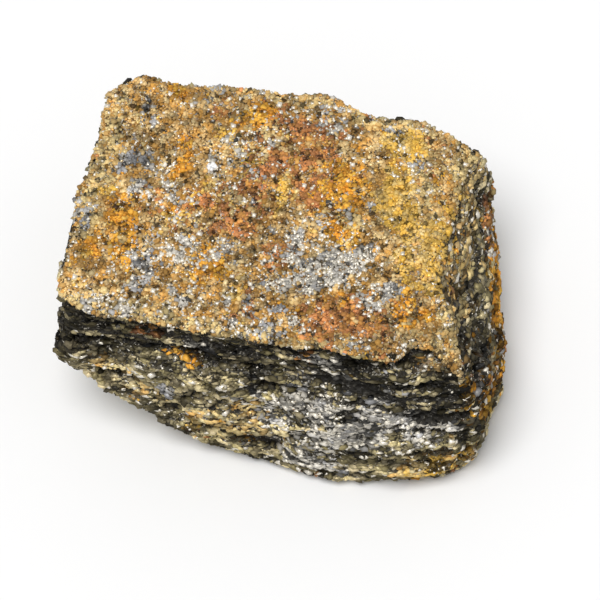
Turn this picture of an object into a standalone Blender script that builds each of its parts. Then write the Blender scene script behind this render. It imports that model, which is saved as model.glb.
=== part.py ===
"""A rough block of bronzite: one broken piece of foliated, bronze-lustred rock.

Metres, +Z up. The block rests on a flat spot of its underside. The origin is on the floor, under the middle
of the block's box. +X runs along its long side and -Y is the layered front.
"""

import bmesh
import bpy
import numpy as np

MM = 0.001

# Driving dimensions, in millimetres
THICKNESS = 25.0

# The middle of the block's box in the outlines' own x and y, which the finished block is moved by
BOX_MIDDLE = (1.615, 0.831)

# The block's outline at five levels, as (x, y) points along each side, between the corners that two sides share.
# A level is a share of the thickness. Front and back run from left to right, left and right from front to back.
FOOT, LOWER_BELT, UPPER_BELT, SHOULDER, CREST = 0.0, 0.3, 0.6, 0.82, 1.0
CORNERS = {
    FOOT: {"fl": (-25.2, -19.0), "fr": (28.0, -18.8), "bl": (-24.6, 18.8), "br": (23.6, 19.6)},
    LOWER_BELT: {"fl": (-25.6, -19.4), "fr": (29.8, -19.0), "bl": (-26.2, 21.0), "br": (24.4, 20.8)},
    UPPER_BELT: {"fl": (-25.9, -19.0), "fr": (30.2, -17.8), "bl": (-26.8, 21.8), "br": (24.8, 21.2)},
    SHOULDER: {"fl": (-26.3, -17.9), "fr": (30.2, -17.0), "bl": (-27.2, 21.8), "br": (24.9, 21.3)},
    CREST: {"fl": (-26.5, -16.6), "fr": (30.2, -16.2), "bl": (-27.0, 21.4), "br": (24.2, 21.2)},
}
FRONT = {
    FOOT: [(-17.0, -19.6), (-8.0, -20.4), (0.0, -21.0), (7.0, -22.4), (11.0, -23.0), (20.5, -20.8)],
    LOWER_BELT: [(-20.0, -19.2), (-8.0, -20.6), (0.0, -20.8), (8.0, -22.0), (17.0, -21.8), (24.0, -20.8)],
    UPPER_BELT: [(-20.0, -18.7), (-8.0, -19.3), (5.0, -19.9), (14.0, -19.4), (22.0, -19.0)],
    SHOULDER: [(-20.0, -17.8), (-8.0, -17.9), (7.0, -18.2), (16.0, -17.8), (23.0, -17.2), (27.0, -17.0)],
    CREST: [(-22.0, -17.6), (-15.5, -17.0), (-8.0, -17.6), (7.0, -17.8), (10.0, -17.2), (15.5, -17.8), (20.0, -17.7),
            (22.0, -15.6), (24.0, -14.3), (26.0, -15.4), (27.5, -16.2)],
}
RIGHT = {
    FOOT: [(29.6, -13.5), (30.0, -6.0), (28.8, 2.0), (26.8, 10.0)],
    LOWER_BELT: [(31.0, -12.0), (31.3, -5.5), (30.2, 2.0), (27.8, 9.0), (25.9, 15.0)],
    UPPER_BELT: [(30.7, -11.0), (30.2, -3.0), (28.7, 4.0), (26.4, 12.0)],
    SHOULDER: [(29.4, -11.0), (28.2, -7.0), (27.1, -3.0), (26.8, 4.0), (26.2, 12.0)],
    CREST: [(28.2, -10.7), (26.2, -7.2), (24.2, -3.6), (24.2, 5.0), (23.8, 12.5)],
}
BACK = {
    FOOT: [(-12.0, 20.4), (4.0, 21.4), (14.0, 20.2)],
    LOWER_BELT: [(-14.0, 22.4), (3.0, 23.4), (12.0, 22.2)],
    UPPER_BELT: [(-14.0, 22.2), (2.0, 23.6), (12.0, 22.2)],
    SHOULDER: [(-20.0, 22.2), (-6.0, 23.0), (2.0, 23.6), (11.4, 22.4)],
    CREST: [(-20.0, 21.7), (-6.0, 22.6), (2.0, 23.0), (11.4, 21.4), (18.0, 21.0)],
}
LEFT = {
    FOOT: [(-25.6, -8.0), (-25.0, 6.0)],
    LOWER_BELT: [(-26.4, -8.0), (-26.8, 6.0)],
    UPPER_BELT: [(-26.6, -9.0), (-27.6, 2.0), (-27.4, 12.0)],
    SHOULDER: [(-26.8, -9.0), (-27.8, 2.0), (-27.6, 12.0)],
    CREST: [(-27.0, -8.0), (-27.9, 0.0), (-27.6, 8.0), (-28.1, 16.5)],
}
LEVELS = (FOOT, LOWER_BELT, UPPER_BELT, SHOULDER, CREST)
EDGE_ROUNDING, EDGE_WIDTH = 0.6, 0.8

# A fracture has taken off the lower front left corner. It meets the floor along the line through these two points,
# and its height over the floor is given for a few distances from that line.
UNDERCUT_START, UNDERCUT_END = (0.0, -19.4), (-27.0, 9.0)
UNDERCUT_DISTANCES = (0.0, 5.0, 10.0, 14.0, 18.0, 30.0)
UNDERCUT_HEIGHTS = (0.0, 2.4, 5.8, 9.6, 14.0, 20.0)

# The layers, from the floor up: the height of each layer's top, and how far each layer stands out of the sides.
# The dark band under the crest lies back, and the body under it stands out.
LAYER_TOPS = (2.4, 5.6, 7.4, 10.6, 13.0, 16.0, 17.8, 21.0, 23.6)
LAYER_REACH = (-0.5, 0.3, -0.4, 0.6, -0.1, 0.7, 0.2, -0.7, -1.0, 0.1)
LEDGE = 0.5
LAYER_WAVE = 1.1
CORNER_ROUNDING = 1.3
CORNER_WEAR, CORNER_WIDTH = 0.9, 3.0

# Lumps and hollows of the front face, as (x, height, half length, half height, how far they stand out)
FRONT_LUMPS = (
    (-6.5, 16.0, 6.0, 2.4, 0.6),
    (9.0, 12.5, 9.0, 4.5, 0.9),
    (2.0, 5.5, 5.0, 2.6, -1.3),
    (21.0, 5.6, 6.0, 1.6, -0.9),
    (25.0, 3.2, 6.0, 3.0, 0.4),
    (-11.0, 8.6, 2.6, 2.0, -0.9),
    (28.6, 21.2, 3.0, 1.6, -0.7),
)

# The flat spot that the block rests on: its middle, its half length and half width, and the lift at its rim
SPOT = (3.0, 0.5, 13.0, 9.0)
SPOT_LIFT = 1.3

# Chips and hollows in the top face, as (x, y, radius, depth)
TOP_CHIPS = (
    (-3.0, -17.4, 3.0, 0.7),
    (-28.0, 22.0, 4.5, 0.9),
)
SHOULDER_START, SHOULDER_FALL = 13.0, 0.022

# Mixing numbers of the noise, one for each axis, and how far each seed turns its lattice, in radians
LATTICE_KEYS = np.array([[73856093], [19349663], [83492791]])
LATTICE_TURN = 2.4

# Mesh density: cells along the length and the depth. The rows up the sides follow the layers.
CELLS_X, CELLS_Y = 40, 28


def noise(points, size, seed):
    """Smooth value noise from -1 to 1: numbers mixed from the corners of a cubic lattice of this size, blended.

    Each seed's lattice is turned about Z by its own angle, so that no direction stands out.
    """
    x, y, z = points.T / size
    turn = seed * LATTICE_TURN
    scaled = np.stack([x * np.cos(turn) - y * np.sin(turn), x * np.sin(turn) + y * np.cos(turn), z])
    low = np.floor(scaled)
    part = scaled - low
    part = part**3 * (part * (part * 6.0 - 15.0) + 10.0)
    weights = (1.0 - part, part)
    corner = low.astype(np.int64)
    keys = [((corner + step) & 0xFFFF) * LATTICE_KEYS for step in (0, 1)]
    total = np.zeros(len(points))
    for i, j, k in np.ndindex(2, 2, 2):
        mixed = keys[i][0] ^ keys[j][1] ^ keys[k][2] ^ (seed * 2654435761)
        mixed = ((mixed ^ (mixed >> 15)) * 2246822519) & 0xFFFFFFFF
        mixed = ((mixed ^ (mixed >> 13)) * 3266489917) & 0xFFFFFFFF
        value = (mixed ^ (mixed >> 16)) * (2.0 / 0xFFFFFFFF) - 1.0
        total += weights[i][0] * weights[j][1] * weights[k][2] * value
    return total


def side_curve(points, along, share):
    """The point at this share of the way along a side, whose points are even in the coordinate it runs along."""
    points = np.array(points)
    reach = (points[:, along] - points[0, along]) / (points[-1, along] - points[0, along])
    return np.stack([np.interp(share, reach, points[:, i]) for i in (0, 1)], axis=1)


def level_patch(level, u, v):
    """A Coons patch: the outline of one level, filled in between its four sides. u runs right and v to the back."""
    fl, fr, bl, br = (np.array(CORNERS[level][name]) for name in ("fl", "fr", "bl", "br"))
    front = side_curve([fl, *FRONT[level], fr], 0, u)
    back = side_curve([bl, *BACK[level], br], 0, u)
    left = side_curve([fl, *LEFT[level], bl], 1, v)
    right = side_curve([fr, *RIGHT[level], br], 1, v)
    u, v = u[:, None], v[:, None]
    corners = (1 - u) * (1 - v) * fl + u * (1 - v) * fr + (1 - u) * v * bl + u * v * br
    return (1 - v) * front + v * back + (1 - u) * left + u * right - corners


def off_the_spot(x, y):
    """0 on the flat spot, rising to 1 outside it."""
    from_spot = np.hypot((x - SPOT[0]) / SPOT[2], (y - SPOT[1]) / SPOT[3])
    return np.clip((from_spot - 1.0) / 0.9, 0.0, 1.0)


def underside(x, y):
    """Height of the underside over the floor: the undercut corner, and a slight lift round the flat spot."""
    start, end = np.array(UNDERCUT_START), np.array(UNDERCUT_END)
    along = (end - start) / np.linalg.norm(end - start)
    outside = (y - start[1]) * along[0] - (x - start[0]) * along[1]
    undercut = np.interp(outside, UNDERCUT_DISTANCES, UNDERCUT_HEIGHTS)
    return np.maximum(undercut, SPOT_LIFT * off_the_spot(x, y))


def top_face(x, y, rim):
    """Height of the top face: nearly level, with a rolled right shoulder, shallow swells and broken chips."""
    flat = np.stack([x, y, np.zeros_like(x)], axis=1)
    height = THICKNESS + 0.35 * noise(flat, 15.0, 3) + 0.2 * noise(flat, 7.0, 4)
    height -= SHOULDER_FALL * np.maximum(x - SHOULDER_START, 0.0) ** 2
    for chip_x, chip_y, radius, depth in TOP_CHIPS:
        away = np.hypot(x - chip_x, y - chip_y) / radius
        height -= depth * np.clip((1.0 - away) * 2.5, 0.0, 1.0)
    return height - EDGE_ROUNDING * np.exp(-rim / EDGE_WIDTH)


def layer_reach(height, points, to_corner):
    """How far the sides stand out at this height: each layer's own reach, which comes and goes round the block.

    The upright corners are worn, each layer by its own amount, and the topmost layers least.
    """
    at, reach = [0.0], [LAYER_REACH[0]]
    for edge, below, above in zip(LAYER_TOPS, LAYER_REACH, LAYER_REACH[1:]):
        at += [edge - LEDGE / 2, edge + LEDGE / 2]
        reach += [below, above]
    layer = np.searchsorted(LAYER_TOPS, height)
    place = np.stack([points[:, 0], points[:, 1], layer * 40.0], axis=1)
    worn = CORNER_WEAR * np.exp(-to_corner / CORNER_WIDTH) * (0.9 + noise(place, 3.0, 9))
    worn *= 1.0 - 0.7 * np.clip(height / THICKNESS, 0.0, 1.0) ** 3
    return np.interp(height, at, reach) * (0.9 + 0.6 * noise(place, 11.0, 6)) + 0.4 * noise(place, 6.0, 7) - worn


def front_lumps(points):
    """How far the front face's named lumps and hollows stand out."""
    total = np.zeros(len(points))
    for x, height, half_length, half_height, out in FRONT_LUMPS:
        away = np.hypot((points[:, 0] - x) / half_length, (points[:, 2] - height) / half_height)
        total += out * np.cos(np.clip(away, 0.0, 1.0) * np.pi / 2) ** 2
    return total


def block_points(unit):
    """Maps points of the unit cube's surface to the block.

    Also gives each point's height in the layers, and its distance from the nearest upright corner.
    """
    u, v, t = unit.T
    shares = np.array([np.interp(t, LEVELS, np.eye(len(LEVELS))[i]) for i in range(len(LEVELS))])
    outlines = np.stack([level_patch(level, u, v) for level in LEVELS])
    x, y = np.einsum("ln,lnc->cn", shares, outlines)
    to_corner = np.minimum(u, 1 - u) * np.ptp(x) + np.minimum(v, 1 - v) * np.ptp(y)
    cut = CORNER_ROUNDING * np.exp(-to_corner / CORNER_ROUNDING) * (1.0 - 0.5 * t)
    x, y = x - cut * np.sign(u - 0.5), y - cut * np.sign(v - 0.5)
    rim = np.minimum(np.minimum(u, 1 - u) * np.ptp(x), np.minimum(v, 1 - v) * np.ptp(y))
    bottom, top = underside(x, y), top_face(x, y, rim)
    even = bottom + t * (top - bottom)
    level = (t**6 * top**6 + (1 - t**6) * bottom**6) ** (1 / 6)
    height = 0.2 * even + 0.8 * level
    flat = np.stack([x, y, np.zeros_like(x)], axis=1)
    wave = LAYER_WAVE * noise(flat, 17.0, 8) * 4.0 * t * (1.0 - t)
    return np.stack([x, y, height + wave], axis=1), height, to_corner


def row_shares():
    """Rows up the sides, as shares of the thickness: two for each ledge, so that the ledges come out crisp."""
    edges = np.array(LAYER_TOPS)
    rows = np.sort(np.concatenate([edges - LEDGE / 2, edges + LEDGE / 2]))
    return np.concatenate([[0.0], rows / THICKNESS, [1.0]])


def divided_cube():
    """A unit cube, divided into cells along X and Y, and into the layers' rows along Z."""
    mesh = bmesh.new()
    bmesh.ops.create_cube(mesh, size=1.0)
    bmesh.ops.translate(mesh, vec=(0.5, 0.5, 0.5), verts=mesh.verts)
    rows = row_shares()
    for axis, cells in enumerate((CELLS_X, CELLS_Y, len(rows) - 1)):
        along = [e for e in mesh.edges if abs(e.verts[0].co[axis] - e.verts[1].co[axis]) > 1e-6]
        bmesh.ops.subdivide_edges(mesh, edges=along, cuts=cells - 1, use_grid_fill=True)
    even = np.linspace(0.0, 1.0, len(rows))
    for vertex in mesh.verts:
        vertex.co.z = np.interp(vertex.co.z, even, rows)
    return mesh


def shape_block(mesh):
    """Moves the cube's points onto the block, then pushes out its layers and lumps and roughens it."""
    unit = np.array([vertex.co for vertex in mesh.verts])
    points, height, to_corner = block_points(unit)
    for vertex, point in zip(mesh.verts, points):
        vertex.co = point
    mesh.normal_update()
    normal = np.array([vertex.normal for vertex in mesh.verts])
    outward = normal * (1.0, 1.0, 0.0)
    outward /= np.maximum(np.linalg.norm(outward, axis=1, keepdims=True), 1e-6)
    side = np.clip(1.6 * (1.0 - normal[:, 2] ** 2), 0.0, 1.0)
    front = np.clip(-2.0 * normal[:, 1], 0.0, 1.0)
    reach = side * layer_reach(height, points, to_corner) + front * front_lumps(points)
    back = np.clip(np.maximum(normal[:, 1], -normal[:, 0]), 0.0, 1.0) * (1.0 - unit[:, 2])
    rough = 0.5 * noise(points, 9.0, 1) + 0.3 * noise(points, 4.0, 2) + 1.5 * back * noise(points, 14.0, 10)
    rough *= 1.0 - 0.5 * np.abs(normal[:, 2])
    resting = unit[:, 2] == 0.0
    rough[resting] *= 1.5 * off_the_spot(*points[resting, :2].T)
    points += outward * reach[:, None] + normal * rough[:, None]
    points[:, 2] = np.maximum(points[:, 2], 0.0)
    points[:, :2] -= BOX_MIDDLE
    for vertex, point in zip(mesh.verts, points * MM):
        vertex.co = point


def rock_material():
    material = bpy.data.materials.new("bronze_rock")
    material.use_nodes = True
    surface = material.node_tree.nodes["Principled BSDF"]
    surface.inputs["Base Color"].default_value = (0.30, 0.20, 0.09, 1.0)
    surface.inputs["Roughness"].default_value = 0.55
    surface.inputs["Metallic"].default_value = 0.15
    return material


def bronzite_block():
    cube = divided_cube()
    shape_block(cube)
    bmesh.ops.triangulate(cube, faces=cube.faces)
    mesh = bpy.data.meshes.new("bronzite_block")
    cube.to_mesh(mesh)
    cube.free()
    mesh.materials.append(rock_material())
    mesh.shade_smooth()
    mesh.set_sharp_from_angle(angle=np.radians(35.0))
    block = bpy.data.objects.new("bronzite_block", mesh)
    bpy.context.scene.collection.objects.link(block)
    return block


for old in list(bpy.data.objects):
    bpy.data.objects.remove(old)
bronzite_block()
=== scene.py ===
"""A rough block of bronzite, with its grains, leaves and stains, on a pale floor."""

import functools
import math

import bpy
import numpy as np
from mathutils import Matrix, Vector


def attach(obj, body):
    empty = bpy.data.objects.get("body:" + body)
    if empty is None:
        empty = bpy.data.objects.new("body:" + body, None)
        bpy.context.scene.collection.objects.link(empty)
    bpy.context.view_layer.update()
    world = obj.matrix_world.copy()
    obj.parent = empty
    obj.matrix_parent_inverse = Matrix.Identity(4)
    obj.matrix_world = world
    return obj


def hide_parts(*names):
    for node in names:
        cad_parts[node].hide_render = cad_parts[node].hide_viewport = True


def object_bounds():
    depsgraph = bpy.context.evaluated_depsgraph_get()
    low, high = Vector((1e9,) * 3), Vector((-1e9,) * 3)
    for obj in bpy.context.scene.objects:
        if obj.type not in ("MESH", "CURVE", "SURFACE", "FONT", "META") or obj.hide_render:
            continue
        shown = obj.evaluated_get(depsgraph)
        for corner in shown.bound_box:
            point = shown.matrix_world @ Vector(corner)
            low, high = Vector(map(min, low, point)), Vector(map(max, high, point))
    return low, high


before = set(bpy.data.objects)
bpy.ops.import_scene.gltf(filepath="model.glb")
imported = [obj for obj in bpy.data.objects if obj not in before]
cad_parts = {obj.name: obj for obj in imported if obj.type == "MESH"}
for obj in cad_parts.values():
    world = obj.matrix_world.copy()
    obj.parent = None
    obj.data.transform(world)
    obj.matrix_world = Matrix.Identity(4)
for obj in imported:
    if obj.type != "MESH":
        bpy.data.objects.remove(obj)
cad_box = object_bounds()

bl_info = {
    "name": "Rough bronzite block",
    "version": (1, 0, 0),
    "blender": (4, 5, 0),
    "location": "3D View > Sidebar > Bronzite",
    "description": "Builds a rough block of foliated bronzite and its stage",
    "category": "Add Mesh",
}

MM = 0.001

# The block's own form, in millimetres, as its solid has it
THICKNESS = 25.0
BOX_MIDDLE = (1.615, 0.831)
FOOT, LOWER_BELT, UPPER_BELT, SHOULDER, CREST = 0.0, 0.3, 0.6, 0.82, 1.0
CORNERS = {
    FOOT: {"fl": (-25.2, -19.0), "fr": (28.0, -18.8), "bl": (-24.6, 18.8), "br": (23.6, 19.6)},
    LOWER_BELT: {"fl": (-25.6, -19.4), "fr": (29.8, -19.0), "bl": (-26.2, 21.0), "br": (24.4, 20.8)},
    UPPER_BELT: {"fl": (-25.9, -19.0), "fr": (30.2, -17.8), "bl": (-26.8, 21.8), "br": (24.8, 21.2)},
    SHOULDER: {"fl": (-26.3, -17.9), "fr": (30.2, -17.0), "bl": (-27.2, 21.8), "br": (24.9, 21.3)},
    CREST: {"fl": (-26.5, -16.6), "fr": (30.2, -16.2), "bl": (-27.0, 21.4), "br": (24.2, 21.2)},
}
FRONT = {
    FOOT: [(-17.0, -19.6), (-8.0, -20.4), (0.0, -21.0), (7.0, -22.4), (11.0, -23.0), (20.5, -20.8)],
    LOWER_BELT: [(-20.0, -19.2), (-8.0, -20.6), (0.0, -20.8), (8.0, -22.0), (17.0, -21.8), (24.0, -20.8)],
    UPPER_BELT: [(-20.0, -18.7), (-8.0, -19.3), (5.0, -19.9), (14.0, -19.4), (22.0, -19.0)],
    SHOULDER: [(-20.0, -17.8), (-8.0, -17.9), (7.0, -18.2), (16.0, -17.8), (23.0, -17.2), (27.0, -17.0)],
    CREST: [(-22.0, -17.6), (-15.5, -17.0), (-8.0, -17.6), (7.0, -17.8), (10.0, -17.2), (15.5, -17.8),
            (20.0, -17.7), (22.0, -15.6), (24.0, -14.3), (26.0, -15.4), (27.5, -16.2)],
}
RIGHT = {
    FOOT: [(29.6, -13.5), (30.0, -6.0), (28.8, 2.0), (26.8, 10.0)],
    LOWER_BELT: [(31.0, -12.0), (31.3, -5.5), (30.2, 2.0), (27.8, 9.0), (25.9, 15.0)],
    UPPER_BELT: [(30.7, -11.0), (30.2, -3.0), (28.7, 4.0), (26.4, 12.0)],
    SHOULDER: [(29.4, -11.0), (28.2, -7.0), (27.1, -3.0), (26.8, 4.0), (26.2, 12.0)],
    CREST: [(28.2, -10.7), (26.2, -7.2), (24.2, -3.6), (24.2, 5.0), (23.8, 12.5)],
}
BACK = {
    FOOT: [(-12.0, 20.4), (4.0, 21.4), (14.0, 20.2)],
    LOWER_BELT: [(-14.0, 22.4), (3.0, 23.4), (12.0, 22.2)],
    UPPER_BELT: [(-14.0, 22.2), (2.0, 23.6), (12.0, 22.2)],
    SHOULDER: [(-20.0, 22.2), (-6.0, 23.0), (2.0, 23.6), (11.4, 22.4)],
    CREST: [(-20.0, 21.7), (-6.0, 22.6), (2.0, 23.0), (11.4, 21.4), (18.0, 21.0)],
}
LEFT = {
    FOOT: [(-25.6, -8.0), (-25.0, 6.0)],
    LOWER_BELT: [(-26.4, -8.0), (-26.8, 6.0)],
    UPPER_BELT: [(-26.6, -9.0), (-27.6, 2.0), (-27.4, 12.0)],
    SHOULDER: [(-26.8, -9.0), (-27.8, 2.0), (-27.6, 12.0)],
    CREST: [(-27.0, -8.0), (-27.9, 0.0), (-27.6, 8.0), (-28.1, 16.5)],
}
LEVELS = (FOOT, LOWER_BELT, UPPER_BELT, SHOULDER, CREST)
EDGE_ROUNDING, EDGE_WIDTH = 0.6, 0.8
UNDERCUT_START, UNDERCUT_END = (0.0, -19.4), (-27.0, 9.0)
UNDERCUT_DISTANCES = (0.0, 5.0, 10.0, 14.0, 18.0, 30.0)
UNDERCUT_HEIGHTS = (0.0, 2.4, 5.8, 9.6, 14.0, 20.0)
LAYER_TOPS = (2.4, 5.6, 7.4, 10.6, 13.0, 16.0, 17.8, 21.0, 23.6)
LAYER_REACH = (-0.5, 0.3, -0.4, 0.6, -0.1, 0.7, 0.2, -0.7, -1.0, 0.1)
LEDGE = 0.5
LAYER_WAVE = 1.1
CORNER_ROUNDING = 1.3
CORNER_WEAR, CORNER_WIDTH = 0.9, 3.0
FRONT_LUMPS = (
    (-6.5, 16.0, 6.0, 2.4, 0.6),
    (9.0, 12.5, 9.0, 4.5, 0.9),
    (2.0, 5.5, 5.0, 2.6, -1.3),
    (21.0, 5.6, 6.0, 1.6, -0.9),
    (25.0, 3.2, 6.0, 3.0, 0.4),
    (-11.0, 8.6, 2.6, 2.0, -0.9),
    (28.6, 21.2, 3.0, 1.6, -0.7),
)
SPOT = (3.0, 0.5, 13.0, 9.0)
SPOT_LIFT = 1.3
TOP_CHIPS = (
    (-3.0, -17.4, 3.0, 0.7),
    (-28.0, 22.0, 4.5, 0.9),
)
SHOULDER_START, SHOULDER_FALL = 13.0, 0.022

# Mixing numbers of the noise, one for each axis, and how far each seed turns its lattice, in radians
LATTICE_KEYS = np.array([[73856093], [19349663], [83492791]])
LATTICE_TURN = 2.4

# Large odd numbers that mix a lattice corner's numbers and its seed into one random number
SEED_KEY = 2654435761
MIXING_KEYS = ((15, 2246822519), (13, 3266489917))

# Cells of the fine surface along the length, the depth and the height, and how many triangles are kept
CELLS = (280, 210, 210)
TRIANGLES_KEPT = 150000

# How many grains lie along and across each sheet of the surface, one at random in each cell of such a grid
GRAIN_GRIDS = {
    "Top_grains": ("top", (142, 116)),
    "Front_flakes": ("front", (160, 72)),
    "Back_flakes": ("back", (72, 160)),
    "Left_flakes": ("left", (72, 112)),
    "Right_flakes": ("right", (112, 72)),
    "Under_flakes": ("bottom", (114, 92)),
}

# How far below the top face its colours reach
TOP_DEPTH = 3.0

# Blots of one stain to the metre, on the surface between the grains
BLOT_SCALE = 700.0

# The surface between the grains: how far it is sunk on the sides, the most that it stands out, and how far
# over the underside its relief reaches full strength
SUNK = 0.4
OUTMOST = 0.7
RIM_CALM = 3.0

# Seed of the grains' random numbers
GRAIN_SEED = 7

# Half sizes of a box-shaped grain and of a flat flake, and the spread of their sizes
GRAIN_HALF = (0.21, 0.17, 0.12)
FLAKE_HALF = (0.55, 0.34, 0.10)
SIZE_SPREAD = 0.28

# How strongly a flake, a grain of the top face and one of the sides are tilted at random
FLAKE_TILT, TOP_TILT, SIDE_TILT = 0.12, 0.30, 0.45

# How far the corners of a flake and of a box are shaken, and how far a grain's middle may lie under and over
# the surface, all as shares of the grain's own size
FLAKE_SHAKE, GRAIN_SHAKE = 0.16, 0.28
PROUD = (-0.6, 0.1)

# How deep a crack is that stays free of flakes, a grain's lowest place, and how far it may pass the box
OPEN_CRACK = 0.62
FLOOR_GAP = 0.4
BOX_GAP = 0.3

# How light a grain is by its kind, a number from 0 to 1: on the top face and on the sides
TOP_KINDS = (0.0, 0.06, 0.18, 0.5, 0.85, 1.0)
TOP_VALUES = (0.14, 0.45, 0.72, 0.97, 1.24, 1.6)
SIDE_KINDS = (0.0, 0.15, 0.35, 0.6, 0.85, 1.0)
SIDE_VALUES = (0.12, 0.4, 0.82, 1.12, 1.5, 2.1)

# The second colour of each stain's grains
PARTNERS = {
    "rust": "tan",
    "orange": "gold",
    "pale": "tan",
    "silver": "blue",
    "blue": "silver",
    "gold": "pale",
}

# The lightest that a grain's colour may be
LIGHTEST = 0.92

# Corners of a unit grain, as a box and as a six-cornered lens, and the triangles that join them, outward
BOX_CORNERS = np.array([(x, y, z) for z in (-1.0, 1.0) for y in (-1.0, 1.0) for x in (-1.0, 1.0)])
BOX_FACES = np.array([(0, 2, 3), (0, 3, 1), (4, 5, 7), (4, 7, 6), (0, 1, 5), (0, 5, 4),
                      (2, 6, 7), (2, 7, 3), (0, 4, 6), (0, 6, 2), (1, 3, 7), (1, 7, 5)])
LENS_CORNERS = np.array(
    [(math.cos(k * math.pi / 3), math.sin(k * math.pi / 3), 0.0) for k in range(6)]
    + [(0.0, 0.0, 1.0), (0.0, 0.0, -1.0)]
)
LENS_FACES = np.array([(k, (k + 1) % 6, 6) for k in range(6)] + [((k + 1) % 6, k, 7) for k in range(6)])

# Strokes across the front face, as points (x, height), half width and how far they stand out
FRONT_STROKES = (
    (((-10.6, 18.3), (-6.3, 16.8), (-2.3, 15.2)), 0.7, 0.7),
    (((-10.4, 17.1), (-6.3, 15.6), (-2.3, 14.0)), 0.35, -0.7),
    (((-9.7, 10.1), (-3.2, 15.0), (4.0, 16.6)), 0.3, -0.9),
    (((-5.2, 9.8), (-1.5, 13.8)), 0.25, -0.6),
    (((-10.9, 8.0), (-9.9, 8.4)), 0.9, -1.0),
    (((-3.0, 4.6), (2.5, 4.2), (6.4, 9.0), (10.0, 9.4)), 0.5, -0.8),
    (((0.2, 7.4), (4.6, 9.6)), 0.5, 0.5),
    (((13.0, 8.3), (20.7, 8.6), (27.0, 9.6)), 0.45, 0.5),
    (((12.0, 7.0), (18.2, 6.6), (26.5, 7.6)), 0.5, -0.9),
    (((14.0, 16.6), (18.5, 15.6), (21.0, 14.2), (29.5, 13.2)), 0.3, -0.9),
    (((16.0, 12.4), (23.0, 11.3), (29.5, 10.6)), 0.25, -0.7),
    (((8.0, 18.2), (21.8, 17.4), (29.5, 17.0)), 0.35, -0.9),
    (((-26.0, 20.6), (-14.0, 21.2), (0.0, 20.2), (10.0, 19.6)), 0.22, -0.5),
    (((-24.0, 17.6), (-18.0, 18.4), (-11.0, 19.2), (2.0, 18.4)), 0.3, -0.7),
    (((26.6, 22.4), (30.4, 20.4)), 0.55, -0.9),
    (((-1.0, 1.2), (9.0, 2.4), (22.0, 1.6)), 0.35, -0.5),
)

# Creases and steps of the top face, as points (x, y), half width and how far they stand out
TOP_STROKES = (
    (((-17.2, 9.4), (-16.0, 10.6), (-14.6, 12.4)), 0.35, -0.5),
    (((-17.0, 6.4), (-16.2, 8.6)), 0.5, -0.35),
    (((-14.9, -1.0), (-14.5, 2.0), (-14.9, 4.6)), 0.4, -0.35),
    (((14.8, -9.4), (17.0, -6.2), (19.6, -3.6), (21.4, -3.8)), 0.3, -0.35),
    (((-21.4, 17.0), (-20.6, 10.0), (-20.4, 2.0), (-18.6, -3.0), (-16.8, -8.0), (-15.6, -14.0)), 0.9, -0.22),
    (((4.6, -2.2), (9.6, -2.4)), 0.3, -0.25),
    (((22.2, 6.0), (23.4, 1.0), (22.6, -3.4), (24.6, -7.0), (27.8, -13.4)), 0.5, 0.25),
)

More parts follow.
